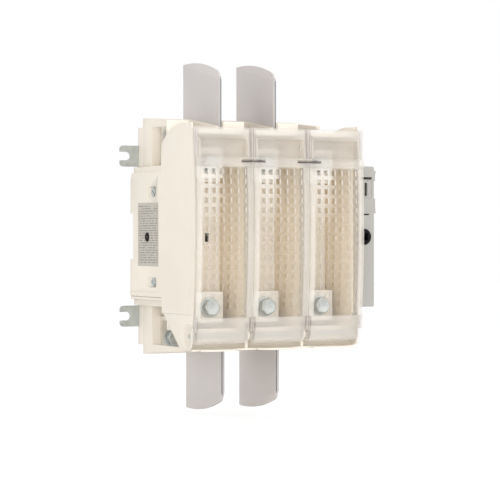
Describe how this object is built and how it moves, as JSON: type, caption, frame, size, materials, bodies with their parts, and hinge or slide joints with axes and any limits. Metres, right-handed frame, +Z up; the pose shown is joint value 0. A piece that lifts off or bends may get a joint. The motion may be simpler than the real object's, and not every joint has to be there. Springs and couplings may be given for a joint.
{
  "type": "fuse switch disconnector",
  "caption": "Open-type multipole fuse switch disconnector with hinged clear louvred covers, phase barriers, side drive mechanism and rear mounting lugs.",
  "frame": {"origin": "centre of the overall width on the rear mounting plane, at the middle height of the moulded base", "axes": "+X right along the row of poles, -Y out of the front, +Z up; the mounting plate lies at Y = 0"},
  "size_m": [0.2615, 0.164, 0.377],
  "materials": {
    "ivory": "satin moulding",
    "clear": "clear, slightly milky",
    "grey": "satin moulding",
    "barrier": "satin sheet",
    "label": "matt printed field, left blank",
    "steel": "zinc plated",
    "dark_steel": "blackened",
    "copper": "tinned copper",
    "black": "matt moulding",
    "rotor": "matt thermoset",
    "gear": "sintered steel"
  },
  "bodies": {
    "body": {"left_side_panel": "ivory", "right_side_panel": "ivory", "switch_base": "ivory", "switch_cell_walls": "ivory", "upper_terminal_block": "ivory", "lower_terminal_block": "ivory", "fuse_deck": "ivory", "bay_walls": "ivory", "hinge_carrier": "ivory", "hinge_pin_caps": "clear", "mechanism_housing": "grey", "mechanism_cover": "grey", "side_clip_block": "grey", "upper_phase_barrier_1": "barrier", "upper_phase_barrier_2": "barrier", "lower_phase_barrier_1": "barrier", "lower_phase_barrier_2": "barrier", "side_label": "label", "hinge_pin": "steel", "lug_screws": "steel", "tie_rods": "steel", "tie_rod_nuts": "steel", "fuse_bolts": "steel", "fuse_washers": "steel", "terminal_bolts": "steel", "terminal_washers": "steel", "terminal_nuts": "steel", "mechanism_screws": "steel", "spindle_bracket": "steel", "snap_spring": "steel", "arc_splitter_plates": "steel", "upper_left_mounting_lug": "steel", "upper_right_mounting_lug": "steel", "lower_left_mounting_lug": "steel", "lower_right_mounting_lug": "steel", "cover_catches": "dark_steel", "line_bar_1": "copper", "line_bar_2": "copper", "line_bar_3": "copper", "fuse_bar_1": "copper", "fuse_bar_2": "copper", "fuse_bar_3": "copper", "load_bar_1": "copper", "load_bar_2": "copper", "load_bar_3": "copper", "shaft_bushes": "black"},
    "cover_1": {"fuse_cover_1": "clear"},
    "cover_2": {"fuse_cover_2": "clear"},
    "cover_3": {"fuse_cover_3": "clear"},
    "drive": {"drive_hub": "black", "hub_bevel_gear": "gear"},
    "switch_shaft": {"cross_shaft": "dark_steel", "shaft_bevel_gear": "gear", "rotor_1": "rotor", "rotor_2": "rotor", "rotor_3": "rotor", "moving_blade_1": "copper", "moving_blade_2": "copper", "moving_blade_3": "copper"}
  },
  "joints": [
    {"name": "cover_1_hinge", "type": "hinge", "parent": "body", "child": "cover_1", "pos_m": [-0.09, -0.146, -0.1025], "axis": [1, 0, 0], "range_deg": [0, 90]},
    {"name": "cover_2_hinge", "type": "hinge", "parent": "body", "child": "cover_2", "pos_m": [-0.024, -0.146, -0.1025], "axis": [1, 0, 0], "range_deg": [0, 90]},
    {"name": "cover_3_hinge", "type": "hinge", "parent": "body", "child": "cover_3", "pos_m": [0.042, -0.146, -0.1025], "axis": [1, 0, 0], "range_deg": [0, 90]},
    {"name": "drive_turn", "type": "hinge", "parent": "body", "child": "drive", "pos_m": [0.1097, -0.094, -0.001], "axis": [0, 1, 0], "range_deg": [0, 90]},
    {"name": "switch_shaft_turn", "type": "hinge", "parent": "body", "child": "switch_shaft", "pos_m": [0, -0.0436, -0.001], "axis": [1, 0, 0], "range_deg": [-90, 0]}
  ],
  "couplings": [
    {"joint": "switch_shaft_turn", "follows": "drive_turn", "ratio": -1}
  ]
}
